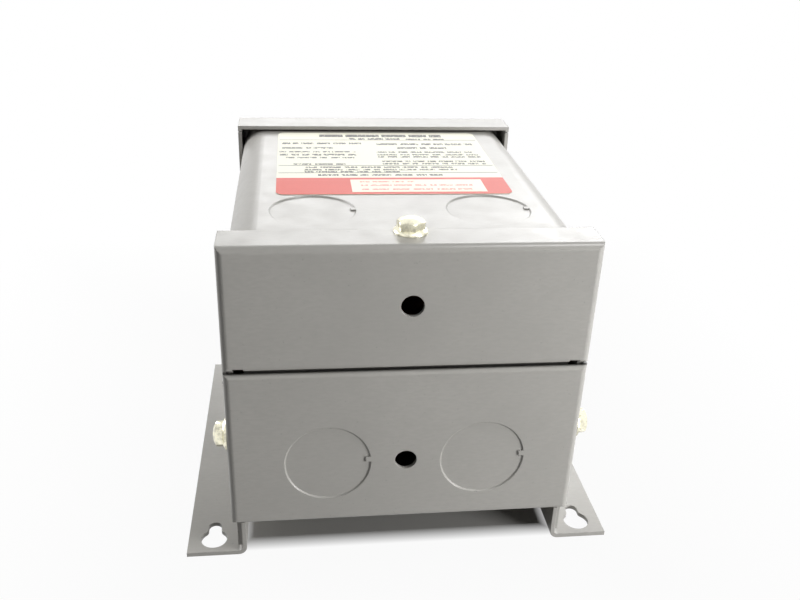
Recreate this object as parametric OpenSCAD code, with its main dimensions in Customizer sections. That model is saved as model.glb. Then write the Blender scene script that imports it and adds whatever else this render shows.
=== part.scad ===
// Buck boost transformer in a rainproof sheet-steel case, lying on its mounting feet.
// X runs across the case, Y from the wiring end to the far end, Z up from the mounting surface.
// Shapes are drawn with Y = 0 at the wiring end's outer face and centred along Y when placed.

/* [Case] */
// Width across the side walls
case_w = 115.2; // [112:0.2:140]
// Length over both end faces
case_l = 150; // [142:0.5:200]
// Height of the label face above the mounting surface
case_h = 115; // [112:0.5:135]
// Outside radius of the two rounded corners beside the label face
corner_r = 10; // [4:0.5:14]
// Thickness of the sheet steel
sheet_t = 1.5; // [1:0.1:1.8]
// Inside radius of the pressed bends
bend_r = 0.8; // [0.3:0.1:1.2]
// Inside radius of the sharper bends at the joint and along the bottom edges
edge_bend_r = 0.2; // [0.1:0.1:0.3]
// Play between the case and the pans that slip over it
slip_fit = 0.3; // [0.1:0.05:0.5]

/* [Mounting base] */
// Height of the back of the case above the mounting surface
standoff = 14; // [12:0.2:20]
// Width that each foot stands out beside the side wall
foot_w = 17.8; // [15:0.1:30]
// Distance from the feet's far edge to the far cap's flange
feet_cap_gap = 3.2; // [1:0.1:10]
// Setback of the feet from the wiring end's face
feet_setback = 0.8; // [0:0.1:1.6]
// Inside radius of the fold between web and foot
foot_bend_r = 1.5; // [0.5:0.1:2]
// Keyhole: diameter that the screw head passes
key_head_d = 9.1; // [8:0.1:10]
// Keyhole: width of the slot that the shank seats in
key_slot_w = 4.5; // [3.5:0.1:5.5]
// Keyhole: travel from the head hole to the seat
key_travel = 6.3; // [5:0.1:9]
// Keyhole: radius that blends the head hole into the slot
key_blend_r = 2; // [0.5:0.1:3]
// Distance from the foot's near edge to the near head hole's centre
key_near_edge = 6.8; // [6:0.1:12]
// Distance from the foot's far edge to the far head hole's centre
key_far_edge = 16.8; // [14:0.1:30]

/* [Wiring end] */
// Height of the joint between cover and lower plate
split_z = 73.8; // [65:0.5:85]
// Gap between cover and lower plate
split_gap = 1; // [0.6:0.1:2]
// Depth of the cover's flanges
cover_flange = 14.2; // [10:0.2:18]
// Depth of the lower plate's flanges
plate_flange = 14; // [10:0.2:18]
// Depth of the lips that face each other at the joint
lip = 9; // [5:0.5:12]
// Width of the bend reliefs in the cover's lower edge
relief_w = 3.4; // [2:0.1:5]
// Height of the bend reliefs
relief_h = 1.2; // [0.5:0.1:2]
// Diameter of the two drain holes
drain_d = 7.4; // [4:0.1:9]
// Distance of the cover's drain hole below its top
cover_drain_drop = 20.1; // [8:0.1:26]
// Height of the lower plate's drain hole
plate_drain_z = 38.4; // [30:0.2:50]

/* [Knockouts] */
// Diameter of the knockouts, for three-quarter inch conduit
knockout_d = 28.2; // [20:0.1:29]
// Depth that each half-sheared knockout is set in
knockout_set = 0.45; // [0.2:0.05:0.8]
// Width of the drawn-in rim round each knockout
knockout_rim = 0.4; // [0.2:0.05:0.6]
// Width of the tie that keeps the sheet's level at one place of the rim
tie_w = 2; // [1:0.1:4]
// Length of the tie
tie_l = 1.4; // [0.6:0.1:3]
// Angle of the tie, counted from the right in a view from outside
tie_angle = 5; // [-180:5:180]
// Sheet left between the lower drain hole and each knockout beside it
plate_knockout_land = 8.5; // [4:0.1:14]
// Height of the end plate's knockouts
plate_knockout_z = 38; // [34:0.2:50]
// Distance from the side wall to the centre of each knockout in the label face
face_knockout_inset = 27.8; // [26:0.1:36]
// Distance of the label face's knockouts from the wiring end
face_knockout_y = 35.9; // [32:0.1:36]

/* [Far end] */
// Depth of the far cap's flanges
cap_flange = 16.4; // [10:0.2:18]
// Height that the far cap stands proud of the label face inside its flange
cap_proud = 0.8; // [0.2:0.1:1.5]

/* [Case screws] */
// Shank diameter of the case screws
screw_d = 4.8; // [4:0.1:5]
// Width across the flats of the heads
head_af = 7.9; // [7:0.1:9]
// Diameter of the washer formed on each head
washer_d = 10.9; // [9.5:0.1:12]
// Thickness of the formed washer at its rim
washer_t = 0.6; // [0.4:0.1:1.2]
// Rise of the washer from its rim to the hexagon
washer_rise = 0.8; // [0.3:0.1:1.2]
// Height of the head with its washer
head_h = 4.8; // [3:0.1:5.5]
// Radius of the heads' domed tops
head_dome_r = 7.9; // [5:0.1:20]
// Length of the shank under the head
shank_l = 9.5; // [6:0.5:12]
// Distance of the cover screw from the wiring end
cover_screw_y = 12; // [8:0.1:12.5]
// Distance of the side screws from the wiring end
side_screw_y = 7; // [6.5:0.1:9]
// Height of the side screws
side_screw_z = 47; // [30:0.5:62]
// Angle that the cover screw's hexagon is turned by
cover_screw_turn = 41; // [0:1:60]
// Angle that the side screws' hexagons are turned by
side_screw_turn = 47; // [0:1:60]

/* [Nameplate] */
// Margin between the label and the side walls
label_side = 15.4; // [12:0.1:30]
// Gap between the label and the far cap's flange
label_cap_gap = 2.6; // [0.5:0.1:20]
// Distance of the label from the wiring end
label_y = 51; // [50.8:0.2:52]
// Thickness of the label
label_t = 0.2; // [0.1:0.05:0.3]
// Corner radius of the label
label_r = 3; // [0.5:0.5:6]

/* [Wiring space] */
// Distance of the barrier board's near face from the wiring end
barrier_y = 56; // [54:0.5:60]
// Thickness of the barrier board
barrier_t = 2; // [1.5:0.1:3]
// Diameter of the lead bushings where they fill the board's holes
bushing_d = 18; // [16:0.5:22]
// Width of the bushings' flange round the hole
bushing_flange = 2.5; // [1:0.1:4]
// Thickness of the bushings' flange
bushing_flange_t = 2; // [1:0.1:3]
// Distance between the two lead bushings
bushing_pitch = 48; // [40:1:56]
// Height of the lead bushings above the middle of the coil
bushing_rise = 13.8; // [0:0.2:15]
// Diameter of a lead over its insulation
lead_d = 3.4; // [2.4:0.1:4]
// Length that each lead stands out of the board
lead_reach = 20; // [16:0.5:21]
// Drop of the leads' bent ends
lead_drop = 22; // [12:0.5:30]
// Length of the bare end of each lead
lead_bare = 8; // [4:0.5:10]
// Distance of the bonding screw from the wiring end
ground_y = 30; // [24:0.5:40]
// Distance of the bonding screw from the side wall
ground_side = 19.6; // [14:0.1:30]
// Width of the bonding screw's wire clamp
clip_w = 11; // [10:0.5:14]
// Thickness of the wire clamp
clip_t = 1.2; // [0.8:0.1:1.6]
// Length of the bonding screw past the back of the case
ground_end = 1; // [0.5:0.1:3]

/* [Core and windings] */
// Thickness of the fill between the core and the side walls
fill_side = 3.6; // [2:0.1:8]
// Least thickness of the fill above and below the core
fill_above = 4.4; // [2:0.1:8]
// Thickness of the fill at both ends of the windings
fill_end = 6.6; // [4:0.1:10]
// Diameter of the clamp bolts
core_bolt_d = 5; // [4:0.1:6]
// Wall of the bobbin
former_t = 1.5; // [1:0.1:2]
// Play between bobbin and laminations
former_fit = 0.2; // [0.1:0.05:0.4]
// Play between the outer wrap and the outer legs of the core
window_fit = 1.2; // [0.3:0.1:2]
// Thickness of the sheet between the windings
insulation_t = 0.5; // [0.3:0.1:0.6]
// Thickness of the outer wrap
tape_t = 0.4; // [0.2:0.1:0.5]

/* [Hidden] */
$fn = 64;

paint = [0.56, 0.56, 0.54];
zinc = [0.8, 0.78, 0.66];
cut = 0.5; // overshoot of a cutter past the face it opens

// Derived places of the case
half_w = case_w / 2;
inner_w = case_w - 2 * sheet_t;
wrap_y0 = sheet_t + bend_r; // the sheets inside start behind the folds of the end pans
wrap_y1 = case_l - wrap_y0;
feet_w = case_w + 2 * foot_w;
feet_y1 = case_l - cap_flange - feet_cap_gap;
key_x = half_w + foot_w / 2;
face_knockout_x = half_w - face_knockout_inset;
plate_knockout_x = drain_d / 2 + plate_knockout_land + knockout_d / 2;
label_w = case_w - 2 * label_side;
label_l = case_l - cap_flange - label_cap_gap - label_y;
back_z0 = standoff + sheet_t; // underside of the base's crown, above the end pans' lower flanges
back_z1 = back_z0 + sheet_t;
face_z = case_h - sheet_t; // inside of the label face
room_h = face_z - back_z1;
pan_w = case_w + 2 * slip_fit + 2 * sheet_t;
seat_gap = 0.1; // between flat faces that slide on each other
cover_top = case_h + seat_gap + sheet_t;
cap_top = case_h + cap_proud + sheet_t;
seam_w = 0.5; // open seam between two flanges at a pan's corner

// Derived sizes of the core: the scrapless EI shape in sixths of its width
lam_w = min(inner_w - 2 * fill_side, (room_h - 2 * fill_above) * 6 / 5);
unit = lam_w / 6;
core_h = 5 * unit;
window_h = 3 * unit;
core_z = (back_z1 + face_z) / 2;
core_y = (barrier_y + barrier_t + wrap_y1) / 2;
former_in_x = 2 * unit + 2 * former_fit;
winding_out = unit - former_fit - window_fit;
former_in_y = wrap_y1 - barrier_y - barrier_t - 2 * winding_out - 2 * fill_end;
stack_t = former_in_y - 2 * former_fit;
former_h = window_h - 2 * former_fit;
nut_h = 0.8 * core_bolt_d;
nut_af = 1.6 * core_bolt_d;
bolt_end = 0.2 * core_bolt_d; // of thread past the nut

// Radial distance from the bobbin's inner wall to the inside of each layer
layer_fit = 0.1;
at_tape = winding_out - tape_t;
winding_t = (at_tape - former_t - insulation_t - 5 * layer_fit) / 4;
at_secondary_a = former_t;
at_secondary_b = at_secondary_a + winding_t + layer_fit;
at_insulation = at_secondary_b + winding_t + layer_fit;
at_primary_a = at_insulation + insulation_t + layer_fit;
at_primary_b = at_primary_a + winding_t + layer_fit;
winding_h = former_h - 2 * former_t;

bushing_z = core_z + bushing_rise;
lead_bend_r = 1.6 * lead_d;
wire_d = 0.62 * lead_d;
lead_gap = 1; // between neighbouring leads in a bushing
lead_pitch = lead_d + lead_gap;

// Radius of a hexagon's corners from its width across the flats
function hex_r(af) = af / sqrt(3);

// Centres a part that was drawn from the wiring end
module placed() {
    translate([0, -case_l / 2, 0]) children();
}

// Rectangle with rounded corners, centred
module rounded_rect(w, h, r) {
    square([w - 2 * r, h], center = true);
    square([w, h - 2 * r], center = true);
    for (x = [-1, 1], y = [-1, 1])
        translate([x * (w / 2 - r), y * (h / 2 - r)]) circle(r);
}

// Extrudes a drawing of Y (across) and Z (up) along X, centred
module along_x(length) {
    translate([-length / 2, 0, 0]) rotate([90, 0, 90]) linear_extrude(length) children();
}

// Extrudes a drawing of X (across) and Z (up) from y0 to y1
module along_y(y0, y1) {
    translate([0, y1, 0]) rotate([90, 0, 0]) linear_extrude(y1 - y0) children();
}

// Section of a block along Y: its face at 0, the lower and upper edge bent to their own radii
module folded_section(z0, z1, depth, r_low, r_high) {
    translate([0, z0 + r_low]) square([depth, z1 - z0 - r_low - r_high]);
    translate([r_low, z0]) square([depth - r_low, 2 * r_low]);
    translate([r_low, z0 + r_low]) circle(r_low);
    translate([r_high, z1 - 2 * r_high]) square([depth - r_high, 2 * r_high]);
    translate([r_high, z1 - r_high]) circle(r_high);
}

// Solid block of a pan, its vertical edges bent to the radius r_side
module pan_block(w, z0, z1, depth, r_low, r_high, r_side) {
    intersection() {
        along_x(w) folded_section(z0, z1, depth, r_low, r_high);
        translate([0, 0, z0]) linear_extrude(z1 - z0) union() {
            translate([-w / 2, r_side]) square([w, depth - r_side]);
            translate([-w / 2 + r_side, 0]) square([w - 2 * r_side, depth]);
            for (x = [-1, 1]) translate([x * (w / 2 - r_side), r_side]) circle(r_side);
        }
    }
}

// Pan folded from one sheet: face towards -Y, flanges running to +Y, given the inside
// radius of its lower and its upper bend
module pan(w, z0, z1, depth, r_low, r_high) {
    difference() {
        pan_block(w, z0, z1, depth, r_low + sheet_t, r_high + sheet_t, bend_r + sheet_t);
        translate([0, sheet_t, 0]) pan_block(
            w - 2 * sheet_t, z0 + sheet_t, z1 - sheet_t, depth, r_low, r_high, bend_r);
    }
}

// Open seams at the pan's corners, from behind the bend to past the flanges' edge
module corner_seams(w, z, depth) {
    for (x = [-1, 1])
        translate([x * (w / 2 - sheet_t / 2) - sheet_t / 2 - cut / 2, bend_r + sheet_t, z])
            cube([sheet_t + cut, depth, seam_w]);
}

// Recess over a half-sheared knockout, cut into the outside of a sheet at z = 0
module knockout_recess() {
    difference() {
        union() {
            translate([0, 0, -knockout_set])
                cylinder(r1 = knockout_d / 2, r2 = knockout_d / 2 + knockout_rim, h = knockout_set);
            cylinder(r = knockout_d / 2 + knockout_rim, h = cut);
        }
        rotate([0, 0, tie_angle]) translate([knockout_d / 2 - tie_l, -tie_w / 2, -2 * cut])
            cube([tie_l + knockout_rim + cut, tie_w, 4 * cut]);
    }
}

// Pad that the same knockout pushes out of the inside of the sheet
module knockout_pad() {
    translate([0, 0, -sheet_t - knockout_set]) cylinder(d = knockout_d, h = knockout_set + cut);
}

// Keyhole with its head hole at the origin and its seat at +Y
module keyhole() {
    slot_r = key_slot_w / 2;
    head_r = key_head_d / 2;
    blend_x = slot_r + key_blend_r;
    blend_y = sqrt(pow(head_r + key_blend_r, 2) - pow(blend_x, 2));
    translate([0, 0, -cut]) {
        cylinder(d = key_head_d, h = sheet_t + 2 * cut);
        translate([0, key_travel, 0]) cylinder(d = key_slot_w, h = sheet_t + 2 * cut);
        translate([-slot_r, 0, 0]) cube([key_slot_w, key_travel, sheet_t + 2 * cut]);
        for (side = [0, 1]) mirror([side, 0, 0]) difference() {
            linear_extrude(sheet_t + 2 * cut)
                polygon([[0, 0], [0, blend_y], [blend_x, blend_y]]);
            translate([blend_x, blend_y, -cut]) cylinder(r = key_blend_r, h = sheet_t + 4 * cut);
        }
    }
}

// Hat channel: crown, two webs and two feet, open below
module base_section() {
    web_x = inner_w / 2 - sheet_t;
    bend = foot_bend_r + sheet_t;
    for (side = [0, 1]) mirror([side, 0]) {
        translate([0, back_z0]) square([inner_w / 2 - bend_r - sheet_t, sheet_t]);
        translate([web_x, bend]) square([sheet_t, back_z0 - bend - bend_r]);
        translate([web_x + bend, 0]) square([feet_w / 2 - web_x - bend, sheet_t]);
        translate([web_x - bend_r, back_z0 - bend_r]) difference() {
            intersection() {
                circle(bend_r + sheet_t);
                square(bend_r + sheet_t);
            }
            circle(bend_r);
        }
        translate([web_x + bend, bend]) difference() {
            intersection() {
                circle(bend);
                translate([-bend, -bend]) square(bend);
            }
            circle(foot_bend_r);
        }
    }
}

module mounting_base() {
    color(paint) difference() {
        along_y(feet_setback, wrap_y1) base_section();
        // crown and webs step back behind the end panel, above its lower edge
        translate([-half_w, 0, standoff - seat_gap]) cube([case_w, wrap_y0, case_h]);
        // webs and feet stop short of the far cap, the crown runs on
        translate([-feet_w / 2 - cut, feet_y1, -cut])
            cube([feet_w + 2 * cut, case_l, back_z0 + cut]);
        translate([-feet_w / 2 - cut, feet_y1, -cut])
            cube([feet_w / 2 - inner_w / 2 + sheet_t + bend_r + cut, case_l, case_h]);
        translate([inner_w / 2 - sheet_t - bend_r, feet_y1, -cut])
            cube([feet_w / 2, case_l, case_h]);
        for (x = [-key_x, key_x], y = [feet_setback + key_near_edge, feet_y1 - key_far_edge])
            translate([x, y, 0]) keyhole();
        ground_at() translate([0, 0, -sheet_t - cut]) cylinder(d = screw_d, h = sheet_t + 2 * cut);
    }
}

// Outline with two rounded upper corners and square lower ones
module arch(w, bottom, top, r) {
    translate([-w / 2, bottom]) square([w, top - bottom - r]);
    translate([r - w / 2, bottom]) square([w - 2 * r, top - bottom]);
    for (x = [-1, 1]) translate([x * (w / 2 - r), top - r]) circle(r);
}

// U section of the wrap, open at the back, its walls standing on the folds of the feet
module wrap_section() {
    bottom = sheet_t + foot_bend_r;
    difference() {
        arch(case_w, bottom, case_h, corner_r);
        arch(inner_w, bottom - cut, face_z, corner_r - sheet_t);
    }
}

// Places its children on the label face's knockouts, +Z outwards
module face_knockouts_at() {
    for (x = [-1, 1]) translate([x * face_knockout_x, face_knockout_y, case_h]) children();
}

module body_wrap() {
    color(paint) difference() {
        union() {
            along_y(wrap_y0, wrap_y1) wrap_section();
            face_knockouts_at() knockout_pad();
        }
        // the walls stop with the feet below the far cap
        translate([-half_w - cut, feet_y1, -cut])
            cube([case_w + 2 * cut, case_l, standoff + sheet_t + cut]);
        face_knockouts_at() knockout_recess();
        translate([0, cover_screw_y, face_z - cut])
            cylinder(d = screw_d, h = sheet_t + 2 * cut);
        side_screws_at() translate([0, 0, -2 * sheet_t - slip_fit - cut])
            cylinder(d = screw_d, h = 2 * sheet_t + slip_fit + 2 * cut);
    }
}

// Far cap: a pan turned round to close the far end
module far_end_cap() {
    color(paint) translate([0, case_l, 0]) mirror([0, 1, 0]) difference() {
        pan(pan_w, standoff, cap_top, cap_flange, edge_bend_r, bend_r);
        corner_seams(pan_w, cap_top - sheet_t - bend_r - seam_w, cap_flange);
        corner_seams(pan_w, standoff + sheet_t + edge_bend_r, cap_flange);
    }
}

// Cuts the flange at the joint back to a lip that clears the wrap's walls, between two heights
module trim_to_lip(z0, z1) {
    between = pan_w - 2 * sheet_t;
    translate([-between / 2, lip, z0]) cube([between, case_l, z1 - z0]);
    for (side = [0, 1]) mirror([side, 0, 0])
        translate([inner_w / 2 - relief_w, sheet_t, z0])
            cube([between / 2 - inner_w / 2 + relief_w, case_l, z1 - z0]);
}

// Places its children on the end plate's knockouts, +Z outwards
module plate_knockouts_at() {
    for (x = [-1, 1]) translate([x * plate_knockout_x, 0, plate_knockout_z])
        rotate([90, 0, 0]) children();
}

module lower_end_plate() {
    top = split_z - split_gap / 2;
    side_w = sheet_t + bend_r + cut;
    color(paint) difference() {
        union() {
            pan(pan_w, standoff, top, plate_flange, edge_bend_r, edge_bend_r);
            plate_knockouts_at() knockout_pad();
        }
        trim_to_lip(top - sheet_t - edge_bend_r, top + cut);
        corner_seams(pan_w, standoff + sheet_t + edge_bend_r, plate_flange);
        // the lower flange is notched where the webs of the base come down
        for (side = [0, 1]) mirror([side, 0, 0])
            translate([inner_w / 2 - sheet_t - bend_r - seam_w, sheet_t, standoff - cut])
                cube([pan_w, plate_flange, sheet_t + edge_bend_r + cut]);
        plate_knockouts_at() knockout_recess();
        translate([0, -cut, plate_drain_z]) rotate([-90, 0, 0])
            cylinder(d = drain_d, h = sheet_t + 2 * cut);
        side_screws_at() translate([0, 0, -side_w - cut]) cylinder(d = screw_d, h = side_w + 2 * cut);
    }
}

module wiring_cover() {
    bottom = split_z + split_gap / 2;
    color(paint) difference() {
        pan(pan_w, bottom, cover_top, cover_flange, edge_bend_r, bend_r);
        trim_to_lip(bottom - cut, bottom + sheet_t + edge_bend_r);
        corner_seams(pan_w, cover_top - sheet_t - bend_r - seam_w, cover_flange);
        // bend reliefs at both ends of the lower lip
        for (side = [0, 1]) mirror([side, 0, 0])
            translate([inner_w / 2 - relief_w, -cut, bottom - cut])
                cube([relief_w, cover_flange, relief_h + cut]);
        // open slot for the screw, so that the cover slides off once it is loose
        translate([0, cover_screw_y, cover_top - sheet_t - cut]) {
            cylinder(d = screw_d + 2 * slip_fit, h = sheet_t + 2 * cut);
            translate([-screw_d / 2 - slip_fit, 0, 0])
                cube([screw_d + 2 * slip_fit, cover_flange, sheet_t + 2 * cut]);
        }
        translate([0, -cut, cover_top - cover_drain_drop]) rotate([-90, 0, 0])
            cylinder(d = drain_d, h = sheet_t + 2 * cut);
    }
}

// Hex washer head screw, the washer's underside at z = 0 and the shank below it
module hex_washer_screw(length) {
    cylinder(d = washer_d, h = washer_t);
    translate([0, 0, washer_t]) cylinder(d1 = washer_d, d2 = head_af, h = washer_rise);
    translate([0, 0, -length]) cylinder(d = screw_d, h = length);
    intersection() {
        translate([0, 0, washer_t / 2])
            cylinder(r = hex_r(head_af), h = head_h - washer_t / 2, $fn = 6);
        translate([0, 0, head_h - head_dome_r]) sphere(head_dome_r);
    }
}

module cover_screw() {
    color(zinc) translate([0, cover_screw_y, cover_top + seat_gap / 2])
        rotate([0, 0, cover_screw_turn]) hex_washer_screw(shank_l);
}

// Places its children on the outside of both side flanges, +Z outwards
module side_screws_at() {
    for (side = [0, 1]) mirror([side, 0, 0])
        translate([pan_w / 2, side_screw_y, side_screw_z]) rotate([0, 90, 0]) children();
}

module end_plate_screws() {
    color(zinc) side_screws_at() rotate([0, 0, side_screw_turn]) hex_washer_screw(shank_l);
}

module nameplate() {
    color([0.98, 0.97, 0.88]) translate([0, label_y + label_l / 2, case_h])
        linear_extrude(label_t) rounded_rect(label_w, label_l, label_r);
}

// E laminations: back at the bottom, three legs up
module core_e_stack() {
    color([0.35, 0.36, 0.38]) difference() {
        along_y(core_y - stack_t / 2, core_y + stack_t / 2) difference() {
            translate([-lam_w / 2, core_z - core_h / 2]) square([lam_w, core_h - unit]);
            for (side = [0, 1]) mirror([side, 0])
                translate([unit, core_z - window_h / 2]) square([unit, window_h + cut]);
        }
        core_bolts_at() cylinder(d = core_bolt_d, h = stack_t + 2 * cut, center = true);
    }
}

// I laminations across the tops of the legs
module core_i_stack() {
    color([0.38, 0.39, 0.41]) difference() {
        along_y(core_y - stack_t / 2, core_y + stack_t / 2)
            translate([-lam_w / 2, core_z + window_h / 2]) square([lam_w, unit]);
        core_bolts_at() cylinder(d = core_bolt_d, h = stack_t + 2 * cut, center = true);
    }
}

// Places its children at the four corners of the core, +Z towards the far end
module core_bolts_at() {
    for (x = [-1, 1], z = [-1, 1])
        translate([x * (lam_w - unit) / 2, core_y, core_z + z * (core_h - unit) / 2])
            rotate([-90, 0, 0]) children();
}

module core_bolts() {
    color(zinc) core_bolts_at() {
        translate([0, 0, -stack_t / 2]) cylinder(d = core_bolt_d, h = stack_t + nut_h + bolt_end);
        translate([0, 0, -stack_t / 2 - nut_h])
            cylinder(r = hex_r(nut_af), h = nut_h, $fn = 6);
    }
}

module core_nuts() {
    color(zinc) core_bolts_at() translate([0, 0, stack_t / 2]) difference() {
        cylinder(r = hex_r(nut_af), h = nut_h, $fn = 6);
        translate([0, 0, -cut]) cylinder(d = core_bolt_d, h = nut_h + 2 * cut);
    }
}

// Ring of a winding or its cover: inside at a radial distance from the bobbin's inner wall
module layer(inside, thickness, height) {
    w = former_in_x + 2 * inside;
    l = former_in_y + 2 * inside;
    translate([0, core_y, core_z - height / 2]) linear_extrude(height) difference() {
        rounded_rect(w + 2 * thickness, l + 2 * thickness, inside + thickness);
        rounded_rect(w, l, inside);
    }
}

module coil_former() {
    flange_w = winding_out - layer_fit;
    color([0.9, 0.88, 0.8]) difference() {
        union() {
            translate([0, core_y, core_z - former_h / 2]) linear_extrude(former_h) rounded_rect(
                former_in_x + 2 * former_t, former_in_y + 2 * former_t, former_t);
            for (z = [-1, 1])
                translate([0, core_y, core_z + z * (former_h - former_t) / 2]) cube(
                    [former_in_x + 2 * flange_w, former_in_y + 2 * flange_w, former_t],
                    center = true);
        }
        translate([0, core_y, core_z])
            cube([former_in_x, former_in_y, former_h + 2 * cut], center = true);
    }
}

module secondary_coil_a() {
    color([0.72, 0.42, 0.2]) layer(at_secondary_a, winding_t, winding_h);
}

module secondary_coil_b() {
    color([0.7, 0.4, 0.19]) layer(at_secondary_b, winding_t, winding_h);
}

module winding_insulation() {
    color([0.85, 0.75, 0.5]) layer(at_insulation, insulation_t, winding_h);
}

module primary_coil_a() {
    color([0.66, 0.36, 0.18]) layer(at_primary_a, winding_t, winding_h);
}

module primary_coil_b() {
    color([0.64, 0.34, 0.17]) layer(at_primary_b, winding_t, winding_h);
}

module coil_tape() {
    color([0.92, 0.84, 0.45]) layer(at_tape, tape_t, winding_h);
}

// Outline of the room inside wrap and base
module room_outline() {
    arch(inner_w, back_z1, face_z, corner_r - sheet_t);
}

// Fill of resin and sand round core and coil
module potting_compound() {
    coil_x = former_in_x + 2 * winding_out;
    coil_y = former_in_y + 2 * winding_out;
    color([0.2, 0.19, 0.18]) difference() {
        along_y(barrier_y + barrier_t, wrap_y1) room_outline();
        translate([0, core_y, core_z]) cube([lam_w, stack_t, core_h], center = true);
        translate([0, core_y, core_z]) cube([coil_x, coil_y, former_h], center = true);
        core_bolts_at() cylinder(
            r = hex_r(nut_af), h = stack_t + 2 * (nut_h + bolt_end), center = true);
        leads_at() translate([0, 0, -cut])
            cylinder(d = lead_d, h = lead_root() - barrier_y - barrier_t + 2 * cut);
    }
}

// Where the leads leave the windings
function lead_root() = core_y - former_in_y / 2 - winding_out;

// Places its children where the leads pass the board's far face, +Z towards the windings
module leads_at(groups = [-1, 1]) {
    for (group = groups, i = [-1, 1], j = [-1, 1])
        translate([
            group * bushing_pitch / 2 + i * lead_pitch / 2,
            barrier_y + barrier_t,
            bushing_z + j * lead_pitch / 2
        ]) rotate([-90, 0, 0]) children();
}

// One group of four leads: each runs out of the windings, through its bushing and turns down
module lead_group(group) {
    for (i = [-1, 1], j = [-1, 1]) {
        reach = lead_reach + j * lead_pitch / 2;
        translate([
            group * bushing_pitch / 2 + i * lead_pitch / 2,
            barrier_y - reach,
            bushing_z + j * lead_pitch / 2
        ]) {
            translate([0, lead_bend_r, 0]) rotate([-90, 0, 0])
                cylinder(d = lead_d, h = lead_root() - barrier_y + reach - lead_bend_r);
            translate([0, lead_bend_r, -lead_bend_r]) rotate([0, -90, 0])
                rotate_extrude(angle = -90) translate([lead_bend_r, 0]) circle(d = lead_d);
            translate([0, 0, -lead_bend_r - lead_drop]) cylinder(d = lead_d, h = lead_drop);
            translate([0, 0, -lead_bend_r - lead_drop - lead_bare])
                cylinder(d = wire_d, h = lead_bare + cut);
        }
    }
}

module primary_leads() {
    color([0.12, 0.12, 0.13]) lead_group(-1);
}

module secondary_leads() {
    color([0.75, 0.72, 0.66]) lead_group(1);
}

module barrier_board() {
    color([0.62, 0.45, 0.3]) difference() {
        along_y(barrier_y, barrier_y + barrier_t) room_outline();
        for (x = [-1, 1]) translate([x * bushing_pitch / 2, barrier_y - cut, bushing_z])
            rotate([-90, 0, 0]) cylinder(d = bushing_d, h = barrier_t + 2 * cut);
    }
}

// Rubber bushings, plugs with a snug hole for each lead and a flange on the wiring side
module lead_bushings() {
    color([0.1, 0.1, 0.1]) difference() {
        for (x = [-1, 1]) translate([x * bushing_pitch / 2, barrier_y, bushing_z])
            rotate([-90, 0, 0]) {
                cylinder(d = bushing_d, h = barrier_t);
                translate([0, 0, -bushing_flange_t])
                    cylinder(d = bushing_d + 2 * bushing_flange, h = bushing_flange_t);
            }
        leads_at() translate([0, 0, -barrier_t - bushing_flange_t - cut])
            cylinder(d = lead_d, h = barrier_t + bushing_flange_t + 2 * cut);
    }
}

// Places its children on the crown where the bonding screw stands
module ground_at() {
    translate([ground_side - half_w, ground_y, back_z1]) children();
}

// Square wire clamp with two turned-down edges
module ground_clip() {
    color(zinc) ground_at() difference() {
        union() {
            translate([-clip_w / 2, -clip_w / 2, clip_t])
                cube([clip_w, clip_w, clip_t]);
            for (x = [-1, 1]) translate([
                x * (clip_w - clip_t) / 2 - clip_t / 2, -clip_w / 2, 0
            ]) cube([clip_t, clip_w, 2 * clip_t]);
        }
        translate([0, 0, -cut]) cylinder(d = screw_d, h = 2 * clip_t + 2 * cut);
    }
}

module ground_screw() {
    reach = 2 * clip_t + sheet_t + ground_end;
    color([0.2, 0.5, 0.3]) ground_at() translate([0, 0, 2 * clip_t])
        hex_washer_screw(reach);
}

placed() mounting_base();
placed() body_wrap();
placed() far_end_cap();
placed() lower_end_plate();
placed() wiring_cover();
placed() cover_screw();
placed() end_plate_screws();
placed() nameplate();
placed() core_e_stack();
placed() core_i_stack();
placed() core_bolts();
placed() core_nuts();
placed() coil_former();
placed() secondary_coil_a();
placed() secondary_coil_b();
placed() winding_insulation();
placed() primary_coil_a();
placed() primary_coil_b();
placed() coil_tape();
placed() potting_compound();
placed() barrier_board();
placed() lead_bushings();
placed() primary_leads();
placed() secondary_leads();
placed() ground_screw();
placed() ground_clip();
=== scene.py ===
import math
import random

import bmesh
import bpy
from bpy.props import FloatProperty, FloatVectorProperty, IntProperty, PointerProperty
from mathutils import Matrix, Vector


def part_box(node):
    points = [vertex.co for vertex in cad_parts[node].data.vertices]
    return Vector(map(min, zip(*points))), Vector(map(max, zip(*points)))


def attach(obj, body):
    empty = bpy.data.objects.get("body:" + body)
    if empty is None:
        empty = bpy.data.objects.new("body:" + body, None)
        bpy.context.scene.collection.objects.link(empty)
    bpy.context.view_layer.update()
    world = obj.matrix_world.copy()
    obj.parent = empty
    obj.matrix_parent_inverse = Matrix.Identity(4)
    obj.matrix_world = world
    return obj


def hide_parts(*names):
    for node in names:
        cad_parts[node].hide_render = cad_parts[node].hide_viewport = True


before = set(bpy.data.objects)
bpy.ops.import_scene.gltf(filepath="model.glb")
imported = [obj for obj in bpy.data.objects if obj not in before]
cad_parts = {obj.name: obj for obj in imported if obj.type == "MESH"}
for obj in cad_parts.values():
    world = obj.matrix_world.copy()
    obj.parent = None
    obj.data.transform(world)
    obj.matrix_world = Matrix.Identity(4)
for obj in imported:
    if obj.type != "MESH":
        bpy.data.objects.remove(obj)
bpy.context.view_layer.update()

bl_info = {
    "name": "Buck boost transformer finishes",
    "version": (1, 0, 0),
    "blender": (4, 5, 0),
    "location": "View3D > Sidebar > Transformer",
    "description": "Enamel, label print, screws, leads and a stage for a buck boost transformer",
    "category": "Object",
}

MM = 0.001
ENAMELLED_NODES = ["mounting_base", "body_wrap", "far_end_cap", "lower_end_plate", "wiring_cover"]

# Vertices of a copied CAD mesh that are closer than this become one
SAME_POINT = 1e-6
# Vertices this close to the end of a screw or a lead are on its end face
AT_END = 1e-5
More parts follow.
